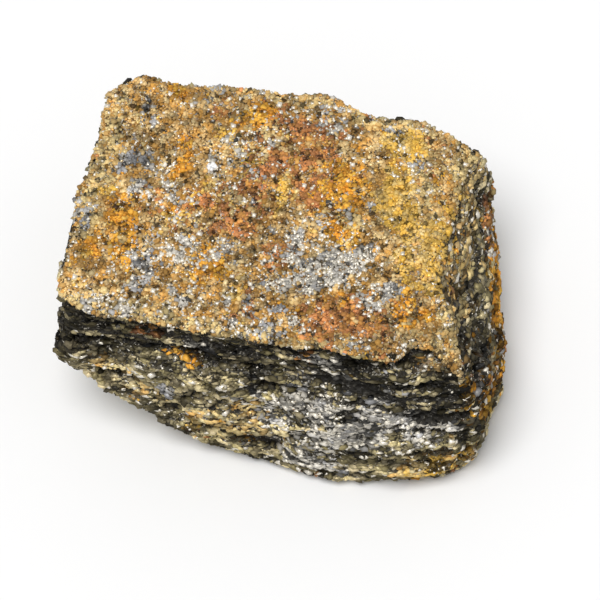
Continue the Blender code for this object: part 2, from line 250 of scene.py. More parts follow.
# Where the stains and kinds of grain lie, as ellipses: on the top face (x, y, half length, half width), on
# the front face (x, height, half length, half height) and on the right side (y, height, and so on)
TOP_PATCHES = {
    "gold": ((14.0, 16.8, 2.8, 2.0), (13.4, 8.6, 2.2, 3.6), (15.4, 5.6, 2.4, 2.4),
             (16.8, 3.0, 1.6, 2.4), (17.6, -1.6, 1.4, 2.6), (21.6, 3.0, 2.4, 4.4),
             (22.2, -1.8, 1.9, 3.0), (19.6, -4.8, 1.8, 0.9), (-3.0, -9.8, 0.6, 2.6),
             (-0.4, 6.4, 0.5, 3.6), (-23.6, 2.0, 1.2, 0.9)),
    "rust": ((-1.6, 17.0, 4.6, 2.6), (-3.2, 8.4, 3.4, 6.0), (2.0, 13.0, 3.0, 4.0), (3.4, 7.6, 2.2, 2.6),
             (-6.5, 0.5, 3.4, 3.0), (11.0, -11.6, 4.4, 3.2), (9.6, -15.2, 2.2, 1.3),
             (-1.2, -13.6, 1.2, 1.2), (-11.0, 2.4, 2.6, 3.0), (1.5, -3.4, 2.4, 2.0),
             (17.8, 12.8, 1.6, 1.6)),
    "orange": ((-20.8, -1.6, 2.0, 2.6), (-19.6, -6.6, 1.4, 3.0), (-17.8, -9.6, 1.0, 1.4),
               (-18.2, 19.4, 1.3, 1.5), (-15.2, 9.0, 1.0, 3.6), (-14.6, 1.6, 0.6, 2.4),
               (-4.2, -13.6, 0.6, 1.2), (7.4, 1.6, 3.0, 1.4), (12.6, 18.2, 1.2, 1.0),
               (6.8, 8.2, 3.4, 4.6), (-7.2, -7.6, 2.2, 2.1), (19.8, -8.6, 2.0, 2.4),
               (-6.4, 17.4, 2.6, 1.8), (10.2, -9.2, 1.4, 1.0), (-24.0, -7.6, 1.2, 1.6),
               (2.6, -12.0, 1.6, 1.2)),
    "silver": ((-12.8, -6.4, 4.2, 2.6), (-7.6, 13.0, 2.4, 2.2), (-3.9, 13.2, 1.1, 1.2),
               (-9.6, -12.6, 3.4, 2.0), (-1.3, 6.0, 0.7, 0.8), (2.3, -0.4, 1.2, 2.0),
               (9.2, -3.6, 3.2, 2.4), (12.3, -1.0, 1.3, 1.3), (13.4, -7.6, 2.4, 2.0),
               (-4.0, -11.0, 1.0, 1.6), (6.0, -14.2, 1.6, 1.1), (2.4, -8.6, 1.2, 1.2),
               (-10.6, 10.0, 1.6, 2.2), (5.8, -7.0, 1.6, 1.8), (-6.8, -4.6, 1.8, 1.2),
               (2.2, 20.6, 2.2, 0.9), (-20.0, -16.0, 8.0, 1.1)),
    "blue": ((-21.4, 15.2, 0.9, 2.6), (-21.8, 8.0, 2.6, 2.4), (-20.5, 3.0, 0.8, 2.8),
             (-18.4, -2.0, 1.2, 2.0), (-16.6, -6.4, 1.6, 3.0), (-15.4, -12.4, 1.6, 2.6),
             (16.8, -6.4, 1.4, 1.4), (11.2, 6.2, 1.0, 0.9), (2.8, -12.2, 1.0, 0.8),
             (-14.4, 18.8, 0.8, 1.2)),
    "pale": ((18.4, 10.4, 2.8, 6.0), (18.6, 4.4, 1.8, 2.6), (22.4, 15.0, 3.0, 4.4),
             (24.4, -9.0, 2.2, 4.4), (-25.4, 4.0, 1.8, 12.0), (-3.0, 21.6, 9.0, 1.2),
             (14.0, 20.2, 8.0, 1.0), (-20.0, -15.6, 9.0, 1.3), (-2.0, -16.6, 16.0, 1.0),
             (10.2, 3.2, 1.6, 1.4)),
}
FRONT_PATCHES = {
    "gold": ((25.0, 3.6, 3.6, 2.4), (-6.0, 5.6, 3.0, 0.8)),
    "rust": ((7.4, 20.6, 1.0, 1.4), (-14.0, 20.6, 1.4, 0.8)),
    "orange": ((-8.4, 17.9, 2.4, 0.6), (21.9, 13.3, 0.7, 0.8), (29.0, 16.0, 1.4, 4.0),
               (2.8, 5.0, 3.0, 1.0), (-3.0, 7.2, 1.0, 1.0), (26.0, 4.6, 3.4, 2.4),
               (22.4, 2.6, 2.0, 1.4)),
    "silver": ((10.4, 20.4, 2.6, 1.6), (12.0, 12.0, 9.0, 5.0), (3.6, 12.6, 5.0, 3.0),
               (22.0, 12.4, 6.0, 2.4), (8.0, 4.2, 5.0, 2.2), (-6.0, 19.6, 3.0, 0.7)),
    "blue": ((18.4, 17.2, 1.6, 1.2), (6.0, 17.4, 1.0, 0.8), (-12.0, 12.0, 1.2, 1.0)),
    "pale": ((-4.0, 7.4, 4.6, 2.8), (-14.0, 11.0, 3.0, 2.0), (0.0, 10.4, 2.4, 2.6),
             (24.4, 4.0, 4.4, 3.0), (-20.0, 14.0, 3.0, 1.6)),
}
RIGHT_PATCHES = {
    "orange": ((-6.0, 9.0, 12.0, 4.0), (10.0, 12.0, 7.0, 4.0), (-12.0, 15.0, 3.0, 2.0)),
    "rust": ((4.0, 7.0, 9.0, 4.0), (14.0, 14.0, 5.0, 3.0)),
    "pale": ((2.0, 21.5, 17.0, 4.0), (-11.0, 23.0, 3.0, 1.6)),
}
STAINS = ("gold", "rust", "orange", "silver", "blue", "pale")

# How much stronger or weaker than on the sides a stain is on the top face
TOP_STRENGTH = {"gold": 0.5, "orange": 0.15, "silver": -0.45, "blue": -0.35}

# The white grain on the top face, which also stands in for a painted glint, as (x, y, radius), and the colour
# of the grains that make it
WHITE_GRAIN_AND_GLINT = (-11.1, 8.4, 0.65)
WHITE = (0.92, 0.92, 0.92)

# The dark band's lower edge on the front face, as (x, height), its top, and how much lower it reaches on the
# right side
BAND_FOOT = ((-26.0, 14.6), (-21.0, 17.4), (-14.0, 17.6), (0.0, 17.4), (8.0, 17.6), (14.0, 16.8),
             (30.0, 16.2))
BAND_TOP = 24.7
RIGHT_BAND_DROP = 9.0

# The level from which the back and left sides are pale again, up to the top
FAR_RIM = 22.6

# Each sheet's place on the surface's own map, as left, bottom, width and height on a page of this size
PAGE = (124.0, 117.0)
SHEET_PLACES = {
    "top": (1.0, 1.0, 60.0, 47.0),
    "bottom": (63.0, 1.0, 60.0, 47.0),
    "front": (1.0, 50.0, 60.0, 32.0),
    "back": (63.0, 50.0, 60.0, 32.0),
    "left": (1.0, 84.0, 60.0, 32.0),
    "right": (63.0, 84.0, 60.0, 32.0),
}
TURNED_SHEETS = ("bottom", "back", "left")


def noise(points, size, seed):
    """Smooth noise from -1 to 1: numbers mixed at the corners of a cubic lattice of this size, and blended.

    Each seed's lattice is turned about Z by its own angle, so that no direction stands out.
    """
    x, y, z = points.T / size
    turn = seed * LATTICE_TURN
    scaled = np.stack([x * np.cos(turn) - y * np.sin(turn), x * np.sin(turn) + y * np.cos(turn), z])
    low = np.floor(scaled)
    part = scaled - low
    part = part**3 * (part * (part * 6.0 - 15.0) + 10.0)
    weights = (1.0 - part, part)
    corner = low.astype(np.int64)
    keys = [((corner + step) & 0xFFFF) * LATTICE_KEYS for step in (0, 1)]
    total = np.zeros(len(points))
    for i, j, k in np.ndindex(2, 2, 2):
        mixed = keys[i][0] ^ keys[j][1] ^ keys[k][2] ^ (seed * SEED_KEY)
        for shift, key in MIXING_KEYS:
            mixed = ((mixed ^ (mixed >> shift)) * key) & 0xFFFFFFFF
        value = (mixed ^ (mixed >> 16)) * (2.0 / 0xFFFFFFFF) - 1.0
        total += weights[i][0] * weights[j][1] * weights[k][2] * value
    return total


def side_curve(points, along, share):
    """The point at this share of the way along a side, by the coordinate that the side runs along."""
    points = np.array(points)
    reach = (points[:, along] - points[0, along]) / (points[-1, along] - points[0, along])
    return np.stack([np.interp(share, reach, points[:, i]) for i in (0, 1)], axis=1)


def level_patch(level, u, v):
    """A Coons patch: one level's outline, filled in between its four sides. u runs right, v to the back."""
    fl, fr, bl, br = (np.array(CORNERS[level][name]) for name in ("fl", "fr", "bl", "br"))
    front = side_curve([fl, *FRONT[level], fr], 0, u)
    back = side_curve([bl, *BACK[level], br], 0, u)
    left = side_curve([fl, *LEFT[level], bl], 1, v)
    right = side_curve([fr, *RIGHT[level], br], 1, v)
    u, v = u[:, None], v[:, None]
    corners = (1 - u) * (1 - v) * fl + u * (1 - v) * fr + (1 - u) * v * bl + u * v * br
    return (1 - v) * front + v * back + (1 - u) * left + u * right - corners


def off_the_spot(x, y):
    """0 on the flat spot, rising to 1 outside it."""
    from_spot = np.hypot((x - SPOT[0]) / SPOT[2], (y - SPOT[1]) / SPOT[3])
    return np.clip((from_spot - 1.0) / 0.9, 0.0, 1.0)


def underside(x, y):
    """Height of the underside over the floor: the undercut corner, and a slight lift round the flat spot."""
    start, end = np.array(UNDERCUT_START), np.array(UNDERCUT_END)
    along = (end - start) / np.linalg.norm(end - start)
    outside = (y - start[1]) * along[0] - (x - start[0]) * along[1]
    undercut = np.interp(outside, UNDERCUT_DISTANCES, UNDERCUT_HEIGHTS)
    return np.maximum(undercut, SPOT_LIFT * off_the_spot(x, y))


def top_face(x, y, rim):
    """Height of the top face: nearly level, with a rolled right shoulder, shallow swells and chips."""
    flat = np.stack([x, y, np.zeros_like(x)], axis=1)
    height = THICKNESS + 0.35 * noise(flat, 15.0, 3) + 0.2 * noise(flat, 7.0, 4)
    height -= SHOULDER_FALL * np.maximum(x - SHOULDER_START, 0.0) ** 2
    for chip_x, chip_y, radius, depth in TOP_CHIPS:
        away = np.hypot(x - chip_x, y - chip_y) / radius
        height -= depth * np.clip((1.0 - away) * 2.5, 0.0, 1.0)
    return height - EDGE_ROUNDING * np.exp(-rim / EDGE_WIDTH)


def layer_reach(height, points, to_corner):
    """How far the sides stand out at this height: each layer's own reach, which comes and goes all round."""
    at, reach = [0.0], [LAYER_REACH[0]]
    for edge, below, above in zip(LAYER_TOPS, LAYER_REACH, LAYER_REACH[1:]):
        at += [edge - LEDGE / 2, edge + LEDGE / 2]
        reach += [below, above]
    layer = np.searchsorted(LAYER_TOPS, height)
    place = np.stack([points[:, 0], points[:, 1], layer * 40.0], axis=1)
    worn = CORNER_WEAR * np.exp(-to_corner / CORNER_WIDTH) * (0.9 + noise(place, 3.0, 9))
    worn *= 1.0 - 0.7 * np.clip(height / THICKNESS, 0.0, 1.0) ** 3
    waved = np.interp(height, at, reach) * (0.9 + 0.6 * noise(place, 11.0, 6))
    return waved + 0.4 * noise(place, 6.0, 7) - worn


def front_lumps(points):
    """How far the front face's named lumps and hollows stand out."""
    total = np.zeros(len(points))
    for x, height, half_length, half_height, out in FRONT_LUMPS:
        away = np.hypot((points[:, 0] - x) / half_length, (points[:, 2] - height) / half_height)
        total += out * np.cos(np.clip(away, 0.0, 1.0) * np.pi / 2) ** 2
    return total


def block_points(unit):
    """Maps points of the unit cube's surface to the block.

    Also gives each point's height in the layers, and its distance from the nearest upright corner.
    """
    u, v, t = unit.T
    shares = np.array([np.interp(t, LEVELS, np.eye(len(LEVELS))[i]) for i in range(len(LEVELS))])
    outlines = np.stack([level_patch(level, u, v) for level in LEVELS])
    x, y = np.einsum("ln,lnc->cn", shares, outlines)
    to_corner = np.minimum(u, 1 - u) * np.ptp(x) + np.minimum(v, 1 - v) * np.ptp(y)
    cut = CORNER_ROUNDING * np.exp(-to_corner / CORNER_ROUNDING) * (1.0 - 0.5 * t)
    x, y = x - cut * np.sign(u - 0.5), y - cut * np.sign(v - 0.5)
    rim = np.minimum(np.minimum(u, 1 - u) * np.ptp(x), np.minimum(v, 1 - v) * np.ptp(y))
    bottom, top = underside(x, y), top_face(x, y, rim)
    even = bottom + t * (top - bottom)
    level = (t**6 * top**6 + (1 - t**6) * bottom**6) ** (1 / 6)
    height = 0.2 * even + 0.8 * level
    flat = np.stack([x, y, np.zeros_like(x)], axis=1)
    wave = LAYER_WAVE * noise(flat, 17.0, 8) * 4.0 * t * (1.0 - t)
    return np.stack([x, y, height + wave], axis=1), height, to_corner


def cube_shell(cells):
    """Outer points of a block of cells, as shares from 0 to 1, and the six sheets of their numbers."""
    size = tuple(n + 1 for n in cells)
    shell = np.ones(size, bool)
    shell[1:-1, 1:-1, 1:-1] = False
    number = np.full(size, -1)
    number[shell] = np.arange(shell.sum())
    unit = np.argwhere(shell) / np.array(cells)
    sheets = {
        "top": number[:, :, -1],
        "bottom": number[:, :, 0].T,
        "front": number[:, 0, :],
        "back": number[:, -1, :].T,
        "left": number[0, :, :].T,
        "right": number[-1, :, :],
    }
    return unit, sheets


def sheet_quads(sheet):
    """The four corners of each cell of a sheet of values, turning left seen from outside."""
    corners = (sheet[:-1, :-1], sheet[1:, :-1], sheet[1:, 1:], sheet[:-1, 1:])
    return np.stack(corners, axis=2).reshape(-1, 4, *sheet.shape[2:])


def sheet_map(name, sheet):
    """Each cell's corners on the surface's map: the sheet's two shares, laid on its own rectangle."""
    left, bottom, width, height = SHEET_PLACES[name]
    first, second = np.meshgrid(*(np.linspace(0.0, 1.0, n) for n in sheet.shape), indexing="ij")
    across, up = (second, 1.0 - first) if name in TURNED_SHEETS else (first, second)
    return sheet_quads(np.stack([left + across * width, bottom + up * height], axis=-1)) / PAGE


def sum_at_points(quads, cell, count):
    """For each point, the sum of its cells' values."""
    return np.stack([np.bincount(quads.ravel(), np.repeat(part, 4), count) for part in cell.T], axis=1)


def share_around(values, quads, passes):
    """Blends each point's values with its neighbours': each pass takes the mean of its cells' means."""
    weight = np.bincount(quads.ravel(), minlength=len(values))[:, None]
    for _ in range(passes):
        cell = values[quads].mean(axis=1)
        values = sum_at_points(quads, cell, len(values)) / weight
    return values


def unit_rows(vectors):
    """Each vector divided by its length."""
    return vectors / np.maximum(np.linalg.norm(vectors, axis=1, keepdims=True), 1e-9)


def point_normals(points, quads):
    """Each point's normal: the sum of its cells' normals, the cross products of their diagonals."""
    corners = points[quads]
    cell = np.cross(corners[:, 2] - corners[:, 0], corners[:, 3] - corners[:, 1])
    return unit_rows(sum_at_points(quads, cell, len(points)))


def stack_points(*columns):
    """Points from their coordinates, each one number a point or one for all."""
    return np.stack(np.broadcast_arrays(*columns), axis=1)


def coarse_form(unit, quads):
    """The block's solid form on a fine grid: outlines, layers, lumps and broad roughness."""
    points, height, to_corner = block_points(unit)
    normal = unit_rows(share_around(point_normals(points, quads), quads, 40))
    outward = unit_rows(normal * (1.0, 1.0, 0.0))
    side = np.clip(1.6 * (1.0 - normal[:, 2] ** 2), 0.0, 1.0)
    front = np.clip(-2.0 * normal[:, 1], 0.0, 1.0)
    reach = side * layer_reach(height, points, to_corner) + front * front_lumps(points)
    back = np.clip(np.maximum(normal[:, 1], -normal[:, 0]), 0.0, 1.0) * (1.0 - unit[:, 2])
    rough = 0.5 * noise(points, 9.0, 1) + 0.3 * noise(points, 4.0, 2) + 1.5 * back * noise(points, 14.0, 10)
    rough *= 1.0 - 0.5 * np.abs(normal[:, 2])
    resting = unit[:, 2] == 0.0
    rough[resting] *= 1.5 * off_the_spot(*points[resting, :2].T)
    points = points + outward * reach[:, None] + normal * rough[:, None]
    points[:, 2] = np.maximum(points[:, 2], 0.0)
    return points, height


def stroke_distance(across, up, path):
    """Distance in a plane from each point to a broken line through the path's points."""
    nearest = np.full(len(across), np.inf)
    for (x, y), (next_x, next_y) in zip(path, path[1:]):
        run_x, run_y = next_x - x, next_y - y
        along = np.clip(((across - x) * run_x + (up - y) * run_y) / (run_x**2 + run_y**2), 0.0, 1.0)
        nearest = np.minimum(nearest, np.hypot(across - x - along * run_x, up - y - along * run_y))
    return nearest


def strokes(across, up, table):
    """Sum of the strokes' bell-shaped sections: each falls off with the distance from its own line."""
    total = np.zeros(len(across))
    for path, half_width, out in table:
        total += out * np.exp(-((stroke_distance(across, up, path) / half_width) ** 2))
    return total


def plates(points, level, thickness, length, seed):
    """Stacked leaves: the height, waved and cut into whole steps, picks each leaf's own noise.

    Gives how far each leaf stands out, and a bell-shaped groove along its rims.
    """
    rims = level / thickness + 0.7 * noise(points, length * 0.7, seed)
    leaf = np.floor(rims)
    out = noise(stack_points(points[:, 0] / length, points[:, 1] / length, leaf * 3.0), 1.0, seed + 1)
    to_rim = np.minimum(rims - leaf, leaf + 1.0 - rims) * thickness
    return out, np.exp(-((to_rim / 0.13) ** 2))


def seams(points, level, length, thickness, seed):
    """Fine cracks that part and meet again: where a noise drawn out along the layers crosses zero."""
    along = stack_points(points[:, 0] / length, points[:, 1] / length, level / thickness)
    value = noise(along, 1.0, seed)
    return value, np.exp(-((value / 0.15) ** 2))


def band_share(points, level, normal):
    """1 in the dark, leafy band under the crest, and 0 below it.

    On the right side the band reaches further down, and is weaker towards the back.
    """
    foot = np.interp(points[:, 0], *zip(*BAND_FOOT)) + 0.8 * noise(points, 4.0, 40)
    foot += 3.0 * np.clip(1.5 * np.maximum(normal[:, 1], -normal[:, 0]), 0.0, 1.0) * noise(points, 13.0, 53)
    right = np.clip(1.5 * normal[:, 0], 0.0, 1.0)
    foot -= RIGHT_BAND_DROP * right
    band = np.clip((level - foot) / 0.8, 0.0, 1.0) * np.clip((BAND_TOP - level) / 0.4, 0.0, 1.0)
    return band * (1.0 - 0.7 * right * np.clip((points[:, 1] + 8.0) / 12.0, 0.0, 1.0))


def leafy_relief(points, level, band):
    """Leaves, lumps and cracks of the sides, summed: how far each point stands out, and its crack."""
    presence = np.clip(0.5 + 1.3 * noise(points, 4.5, 24), 0.0, 1.0)
    thick, thick_rim = plates(points, level, 1.9, 8.0, 30)
    middle, middle_rim = plates(points, level, 0.85, 4.5, 33)
    thin, thin_rim = plates(points, level, 0.42, 2.6, 36)
    wavy, wavy_seam = seams(points, level, 3.4, 0.8, 39)
    crack = thick_rim * (0.4 + 0.6 * band) * presence
    crack = np.maximum(crack, middle_rim * np.maximum(band, 0.5 * presence))
    crack = np.maximum(crack, wavy_seam * (0.3 + 0.7 * band))
    crack = np.maximum(crack, 0.5 * thin_rim * band)
    leaves = (0.8 * thick + 0.6 * middle + 0.3 * thin + 0.15 * wavy) * (0.6 + 0.4 * band)
    ridges = 0.5 - np.abs(noise(points, 2.6, 26)) * 2.0
    lumps = 0.5 * noise(points, 4.4, 25) + 0.35 * ridges + 0.22 * noise(points, 1.1, 31)
    lumps = lumps + 0.14 * noise(points, 0.6, 52)
    return leaves + (1.0 - 0.7 * band) * lumps - 0.55 * crack, crack


def grainy_relief(points, top):
    """Grains, pits and steps of the flat faces, summed: how far each point stands out, and its pit."""
    flat = stack_points(points[:, 0], points[:, 1], 0.0)
    steps = 0.12 * np.tanh(9.0 * noise(flat, 6.5, 27)) + 0.09 * np.tanh(9.0 * noise(flat, 3.2, 47))
    warped = flat + 0.7 * stack_points(noise(flat, 2.2, 45), noise(flat, 2.2, 46), 0.0)
    named = strokes(warped[:, 0], warped[:, 1], TOP_STROKES)
    grains = 0.12 * noise(points, 1.7, 28) + 0.17 * noise(points, 0.9, 29) + 0.15 * noise(points, 0.5, 48)
    pit = np.clip(noise(points, 1.1, 30) - 0.34, 0.0, 1.0)
    depth = np.clip(1.8 * pit - 0.6 * top * np.minimum(named, 0.0), 0.0, 1.0)
    return grains - 0.9 * pit + top * (steps + named), depth


def fine_relief(points, height, normal):
    """The relief of the whole surface: the sides' and the flat faces', blended by how steep each point is.

    Gives how far each point stands out, how deep its crack is, its level in the leaves, and its band.
    """
    level = height + 0.5 * noise(points, 7.0, 20) + 0.22 * noise(points, 2.6, 21)
    flatness = np.abs(normal[:, 2])
    side = np.clip(1.5 * (1.0 - flatness) - 0.1, 0.0, 1.0)
    top = np.clip(2.0 * normal[:, 2] - 1.0, 0.0, 1.0)
    front = np.clip(-2.0 * normal[:, 1] - 0.4, 0.0, 1.0)
    rim = np.clip(4.0 * flatness * (1.0 - flatness), 0.0, 1.0)
    band = band_share(points, level, normal)
    leafy, crack = leafy_relief(points, level, band)
    grainy, pit = grainy_relief(points, top)
    named = strokes(points[:, 0] + 0.5 * noise(points, 1.6, 44), level, FRONT_STROKES)
    chips = 0.35 * np.clip(noise(points, 2.1, 49) + 0.1, 0.0, 1.0)
    chips = chips + 0.3 * np.clip(noise(points, 0.9, 51), 0.0, 1.0)
    relief = side * leafy + (1.0 - side) * grainy + front * named - rim * chips
    crack = np.clip(side * crack + (1.0 - side) * pit - 0.8 * front * np.minimum(named, 0.0), 0.0, 1.0)
    return relief, crack, level, band


def patch_share(across, up, patches):
    """How far a place is inside the nearest ellipse: 1 in its middle, 0.5 on its line, 0 well outside."""
    share = np.zeros(len(across))
    for x, y, half_length, half_width in patches:
        away = np.hypot((across - x) / half_length, (up - y) / half_width)
        share = np.maximum(share, np.clip(1.35 - 0.85 * away, 0.0, 1.0))
    return share


def near_top(points):
    """1 down to half of the colours' depth under the top face, falling to 0 at all of it."""
    x, y, z = points.T
    return np.clip((z - top_face(x, y, TOP_DEPTH)) / TOP_DEPTH + 1.0, 0.0, 0.5) * 2.0


def stain_shares(points, level, normal):
    """The share of grains that each stain takes at each point: its patches, bent and broken up by noise."""
    top = np.clip(3.0 * normal[:, 2] - 1.0, 0.0, 1.0) * near_top(points)
    front = np.clip(-2.0 * normal[:, 1], 0.0, 1.0) * (1.0 - top)
    right = np.clip(2.0 * normal[:, 0], 0.0, 1.0) * (1.0 - top) * (1.0 - front)
    bend_x = 0.9 * noise(points, 2.4, 60) + 0.5 * noise(points, 1.1, 61)
    bend_y = 0.9 * noise(points, 2.4, 62) + 0.5 * noise(points, 1.1, 63)
    across, deep, up = points[:, 0] + bend_x, points[:, 1] + bend_y, level + bend_y
    shares = {}
    for number, name in enumerate(STAINS):
        loose = 0.12 + 0.3 * np.maximum(top, 1.0 - front)
        loose *= np.clip(noise(points, 5.0, 70 + number) - 0.1, 0.0, 1.0)
        share = top * patch_share(across, deep, TOP_PATCHES[name])
        share += front * patch_share(across, up, FRONT_PATCHES[name])
        share += right * patch_share(deep, up, RIGHT_PATCHES.get(name, ()))
        share *= 1.0 + TOP_STRENGTH.get(name, 0.0) * top
        share *= 0.85 + 0.5 * noise(points, 1.6, 80 + number)
        shares[name] = np.clip(share + loose, 0.0, 1.0)
    return shares


def array_mesh(name, points, faces, places, attributes):
    """A mesh of these faces, with their corners' places on the map and each point's attributes."""
    mesh = bpy.data.meshes.new(name)
    mesh.vertices.add(len(points))
    mesh.vertices.foreach_set("co", (points * MM).astype(np.float32).ravel())
    mesh.loops.add(faces.size)
    mesh.loops.foreach_set("vertex_index", faces.astype(np.int32).ravel())
    mesh.polygons.add(len(faces))
    mesh.polygons.foreach_set("loop_start", np.arange(0, faces.size, faces.shape[1], dtype=np.int32))
    mesh.update(calc_edges=True)
    mesh.uv_layers.new(name="OFBake").uv.foreach_set("vector", places.astype(np.float32).ravel())
    for label, values in attributes.items():
        mesh.attributes.new(label, "FLOAT", "POINT").data.foreach_set("value", values.astype(np.float32))
    mesh.validate()
    return mesh


def surface_mesh(name, points, sheets, attributes):
    """A closed mesh of the sheets' cells."""
    quads = np.concatenate([sheet_quads(sheet) for sheet in sheets.values()])
    places = np.concatenate([sheet_map(each, sheet) for each, sheet in sheets.items()])
    mesh = array_mesh(name, points, quads, places, attributes)
    mesh.shade_smooth()
    return mesh


def sheet_samples(sheet, counts, rng, values):
    """Values at a random place in each cell of a grid over the sheet, blended from four points."""
    rows, columns = np.indices(counts)
    first = (rows + rng.random(counts)) / counts[0] * (sheet.shape[0] - 1)
    second = (columns + rng.random(counts)) / counts[1] * (sheet.shape[1] - 1)
    i, j = first.astype(int), second.astype(int)
    s, t = (first - i)[..., None], (second - j)[..., None]
    near = (1 - t) * values[sheet[i, j]] + t * values[sheet[i, j + 1]]
    far = (1 - t) * values[sheet[i + 1, j]] + t * values[sheet[i + 1, j + 1]]
    return ((1 - s) * near + s * far).reshape(-1, values.shape[1])


def even_noise(points, size, seed):
    """The noise, spread out by a tanh curve so that it runs about evenly from 0 to 1."""
    return 0.5 + 0.5 * np.tanh(2.2 * noise(points, size, seed)) / np.tanh(2.2)


def grain_axes(rng, normal, top, spread):
    """Each grain's axes: flat on the layers, the long one along the side or any way on the top, then tilted.

    The tilts are normal random numbers times the spread, in both directions.
    """
    count = len(normal)
    heading = np.arctan2(normal[:, 0], -normal[:, 1]) + 0.35 * rng.standard_normal(count)
    heading = np.where(top > 0.5, rng.random(count) * 2.0 * np.pi, heading)
    along = stack_points(np.cos(heading), np.sin(heading), 0.0)
    across = stack_points(-np.sin(heading), np.cos(heading), 0.0)
    tilt = spread[:, None] * rng.standard_normal((count, 2))
    up = unit_rows(stack_points(0.0, 0.0, np.ones(count)) + tilt[:, :1] * along + tilt[:, 1:] * across)
    along = unit_rows(along - (along * up).sum(axis=1, keepdims=True) * up)
    return np.stack([along, np.cross(up, along), up], axis=1)


def grain_field(rng, points, normal, top, leafy):
    """Corners, triangles and map places of the grains: shaken boxes and lenses, sized, turned, half sunk.

    A grain's middle is moved along the normal by a random share of its own reach.
    """
    count = len(points)
    lens = leafy[:, None, None]
    size = np.exp(SIZE_SPREAD * np.clip(rng.standard_normal((count, 1)), -2.0, 2.0))
    half = np.where(leafy[:, None], np.array(FLAKE_HALF) * size, np.array(GRAIN_HALF) * size)
    tilt = np.where(leafy, FLAKE_TILT, np.where(top > 0.5, TOP_TILT, SIDE_TILT))
    axes = grain_axes(rng, normal, top, tilt)
    unit = np.where(lens, LENS_CORNERS, BOX_CORNERS)
    unit = unit + np.where(lens, FLAKE_SHAKE, GRAIN_SHAKE) * rng.uniform(-1.0, 1.0, unit.shape)
    corners = np.einsum("nci,nij->ncj", unit * half[:, None, :], axes)
    reach = np.abs(np.einsum("nci,ni->nc", corners, normal)).max(axis=1)
    proud = rng.uniform(*PROUD, count) * reach
    corners += (points + normal * proud[:, None])[:, None, :]
    faces = np.where(lens, LENS_FACES, BOX_FACES) + 8 * np.arange(count)[:, None, None]
    side = math.ceil(math.sqrt(count))
    cell = np.stack([np.arange(count) % side, np.arange(count) // side], axis=1)
    places = (cell[:, None, :] + 0.5 + 0.3 * np.clip(unit[:, :, :2], -1.3, 1.3)) / side
    return corners.reshape(-1, 3), faces.reshape(-1, 3), places.reshape(-1, 2)


def grain_stains(rng, blots, on_top, stains, colour):
    """Each grain's colour before light and dark.

    A grain takes a stain's colours where a number, alike for near grains, is under the stain's share. It is
    then mixed, mostly a little, from the first of the two towards the second.
    """
    first = np.where(on_top, colour["tan"], colour["body"])
    second = np.where(on_top, 0.88 * colour["pale"] + 0.12 * colour["light"],
                      0.7 * colour["pale"] + 0.3 * colour["light"])
    for number, (name, partner) in enumerate(PARTNERS.items()):
        pick = 0.62 * even_noise(blots, 1.3, 100 + number) + 0.38 * rng.random(len(blots))
        chosen = (pick < stains[name])[:, None]
        first = np.where(chosen, colour[name], first)
        second = np.where(chosen, colour[partner], second)
    share = 0.65 * even_noise(blots, 0.9, 120) + 0.35 * rng.random(len(blots))
    return first + (second - first) * (share**2.0)[:, None]


def grain_values(rng, blots, on_top, normal, kept):
    """How light each grain is, and how far the band darkens it.

    The value follows the grain's kind, which is alike for near grains. On the sides it is multiplied by
    streaks along the layers and by painted light and shade: lighter where the place stands out, darker where
    it is sunk. Painted shade in cracks and pits, and the band's thin streaks, then darken it.
    """
    top = on_top[:, 0]
    count = len(blots)
    drawn_out = np.where(on_top, 1.0, (0.5, 0.5, 1.4))
    kind = 0.58 * even_noise(blots * drawn_out, 0.75, 130) + 0.42 * rng.random(count)
    kind = np.clip(0.5 + 1.35 * (kind - 0.5), 0.0, 1.0)
    uneven = 1.0 - 0.7 * kept["silver"]
    streaks = noise(blots * (0.45, 0.45, 1.6), 1.3, 110)
    # Painted light and shade on the sides: lighter where the place stands out, darker where it is sunk
    side_shade = np.clip(1.05 + 0.7 * uneven * kept["stand"], 0.25, 1.5)
    side_shade = side_shade * np.clip(1.0 + 1.3 * uneven * streaks, 0.3, 1.8)
    top_value = np.interp(kind, TOP_KINDS, TOP_VALUES) * (1.0 + 0.4 * noise(blots, 1.8, 111))
    value = np.where(top, top_value, np.interp(kind, SIDE_KINDS, SIDE_VALUES) * side_shade)
    far_side = np.clip(1.5 * np.maximum(normal[:, 1], -normal[:, 0]), 0.0, 1.0)
    far_rim = far_side * np.clip((kept["level"] - FAR_RIM) / 1.2, 0.0, 1.0)
    # Painted shade in cracks and pits, weaker near the top of the back and left sides
    crack = kept["crack"] * (1.0 - 0.8 * far_rim)
    value *= 1.0 - 0.95 * np.clip(np.where(top, 0.7, 1.5) * crack, 0.0, 1.0)
    thin_streaks = 0.7 * even_noise(blots * (0.28, 0.28, 2.0), 1.0, 115) + 0.3 * rng.random(count)
    darkened = kept["band"] * (1.0 - 0.7 * kept["orange"]) * np.clip(3.5 * (0.68 - thin_streaks), 0.0, 1.0)
    darkened = np.where(far_rim > 0.5, np.minimum(darkened, 0.3), darkened)
    return value * (1.0 - 0.88 * darkened), darkened


